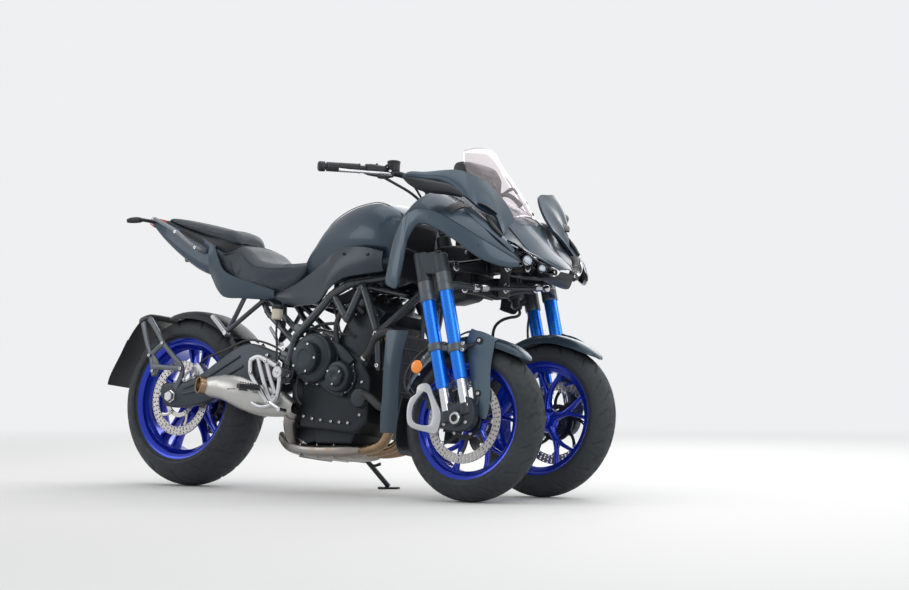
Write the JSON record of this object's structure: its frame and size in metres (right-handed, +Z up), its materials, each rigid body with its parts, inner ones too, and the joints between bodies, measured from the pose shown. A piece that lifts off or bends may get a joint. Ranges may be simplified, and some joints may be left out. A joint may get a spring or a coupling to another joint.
{
  "type": "leaning three-wheeled motorcycle",
  "caption": "Leaning three-wheeled motorcycle with two front wheels on a parallelogram, outboard forks and one driven rear wheel, parked on its side stand.",
  "frame": {"origin": "on the ground at the middle of the parked machine's box", "axes": "+X forward, +Y to the rider's left, +Z up from the ground; the machine leans to +Y on its side stand"},
  "size_m": [2.1724, 0.8803, 1.2367],
  "materials": {
    "graphite_paint": "satin graphite paint on plastic",
    "black_plastic": "moulded",
    "frame_steel": "satin black paint",
    "cast_dark": "dark satin paint",
    "engine_cast": "dark satin paint",
    "steel": "brushed",
    "cast_silver": "cast, clear coated",
    "spring": "black",
    "vinyl": "grained vinyl",
    "lamp": "clear lens over a dark housing",
    "screen": "clear polycarbonate",
    "reservoir": "translucent white",
    "blue_rim": "metallic blue",
    "blue_tube": "anodised blue over bright inner tubes",
    "rubber": "road tyre"
  },
  "bodies": {
    "frame": {"trellis_frame": "frame_steel", "frame_head": "cast_dark", "subframe": "frame_steel", "engine_block": "engine_cast", "engine_covers": "cast_dark", "radiator": "black_plastic", "exhaust_pipes": "steel", "silencer": "steel", "swingarm": "cast_dark", "rear_shock": "spring", "rear_hugger": "black_plastic", "plate_carrier": "cast_dark", "fuel_tank": "graphite_paint", "tank_panels": "graphite_paint", "rider_seat": "vinyl", "pillion_seat": "vinyl", "tail_cover": "black_plastic", "side_panels": "graphite_paint", "grab_rails": "cast_dark", "rear_lamps": "lamp", "side_cowls": "graphite_paint", "nose_cowl": "graphite_paint", "headlights": "lamp", "windscreen": "screen", "instrument_hood": "black_plastic", "mirrors": "black_plastic", "foot_brackets": "cast_silver", "pillion_brackets": "frame_steel", "fluid_reservoir": "reservoir", "drive_chain": "steel"},
    "rear_wheel": {"rear_tyre": "rubber", "rear_rim": "blue_rim", "rear_disc": "steel"},
    "upper_arm": {"upper_arm": "cast_dark"},
    "lower_arm": {"lower_arm": "cast_dark"},
    "handlebar": {"handlebar": "frame_steel"},
    "tie_rod": {"tie_rod": "cast_dark"},
    "side_stand": {"side_stand": "frame_steel"},
    "carrier_left": {"carrier_left": "cast_dark"},
    "fork_left": {"fork_left": "cast_dark", "fork_tubes_left": "blue_tube", "fender_left": "graphite_paint"},
    "wheel_left": {"front_rim_left": "blue_rim", "front_tyre_left": "rubber", "front_disc_left": "steel"},
    "carrier_right": {"carrier_right": "cast_dark"},
    "fork_right": {"fork_right": "cast_dark", "fork_tubes_right": "blue_tube", "fender_right": "graphite_paint"},
    "wheel_right": {"front_rim_right": "blue_rim", "front_tyre_right": "rubber", "front_disc_right": "steel"}
  },
  "joints": [
    {"name": "rear_wheel_spin", "type": "hinge", "parent": "frame", "child": "rear_wheel", "pos_m": [-0.695, -0.09179, 0.31839], "axis": [0, 0.9909, -0.1349], "continuous": true},
    {"name": "lean", "type": "hinge", "parent": "frame", "child": "upper_arm", "pos_m": [0.655, -0.02415, 0.81541], "axis": [1, 0, 0], "range_deg": [-52.75, 37.25]},
    {"name": "lean_lower", "type": "hinge", "parent": "frame", "child": "lower_arm", "pos_m": [0.7, -0.03454, 0.73911], "axis": [1, 0, 0], "range_deg": [-52.75, 37.25]},
    {"name": "steer", "type": "hinge", "parent": "frame", "child": "handlebar", "pos_m": [0.395, 0.00659, 1.04132], "axis": [-0.342, 0.1267, 0.9311], "range_deg": [-34.8, 25.2]},
    {"name": "tie_rod_slide", "type": "slide", "parent": "lower_arm", "child": "tie_rod", "axis": [0, 1, 0], "range_m": [-0.07896, 0.05718]},
    {"name": "carrier_left_pivot", "type": "hinge", "parent": "upper_arm", "child": "carrier_left", "pos_m": [0.655, 0.18085, 0.81541], "axis": [1, 0, 0], "range_deg": [-37.25, 52.75]},
    {"name": "fork_left_steer", "type": "hinge", "parent": "carrier_left", "child": "fork_left", "pos_m": [0.79207, 0.10576, 0.2637], "axis": [-0.342, 0.1267, 0.9311], "range_deg": [-34.8, 25.2]},
    {"name": "wheel_left_spin", "type": "hinge", "parent": "fork_left", "child": "wheel_left", "pos_m": [0.81492, 0.10891, 0.27167], "axis": [-0.0786, 0.9835, -0.1627], "continuous": true},
    {"name": "carrier_right_pivot", "type": "hinge", "parent": "upper_arm", "child": "carrier_right", "pos_m": [0.655, -0.22915, 0.81541], "axis": [1, 0, 0], "range_deg": [-37.25, 52.75]},
    {"name": "fork_right_steer", "type": "hinge", "parent": "carrier_right", "child": "fork_right", "pos_m": [0.79207, -0.30424, 0.2637], "axis": [-0.342, 0.1267, 0.9311], "range_deg": [-34.8, 25.2]},
    {"name": "wheel_right_spin", "type": "hinge", "parent": "fork_right", "child": "wheel_right", "pos_m": [0.81492, -0.30109, 0.27167], "axis": [-0.0786, 0.9835, -0.1627], "continuous": true},
    {"name": "side_stand_fold", "type": "hinge", "parent": "frame", "child": "side_stand", "pos_m": [0.005, 0.02624, 0.14751], "axis": [0.102, 0.7591, 0.643], "range_deg": [0, 99.8]}
  ],
  "couplings": [
    {"joint": "lean_lower", "follows": "lean", "ratio": 1},
    {"joint": "tie_rod_slide", "follows": "steer", "m_per_rad": 0.13},
    {"joint": "carrier_left_pivot", "follows": "lean", "ratio": -1},
    {"joint": "fork_left_steer", "follows": "steer", "ratio": 1},
    {"joint": "carrier_right_pivot", "follows": "lean", "ratio": -1},
    {"joint": "fork_right_steer", "follows": "steer", "ratio": 1}
  ]
}
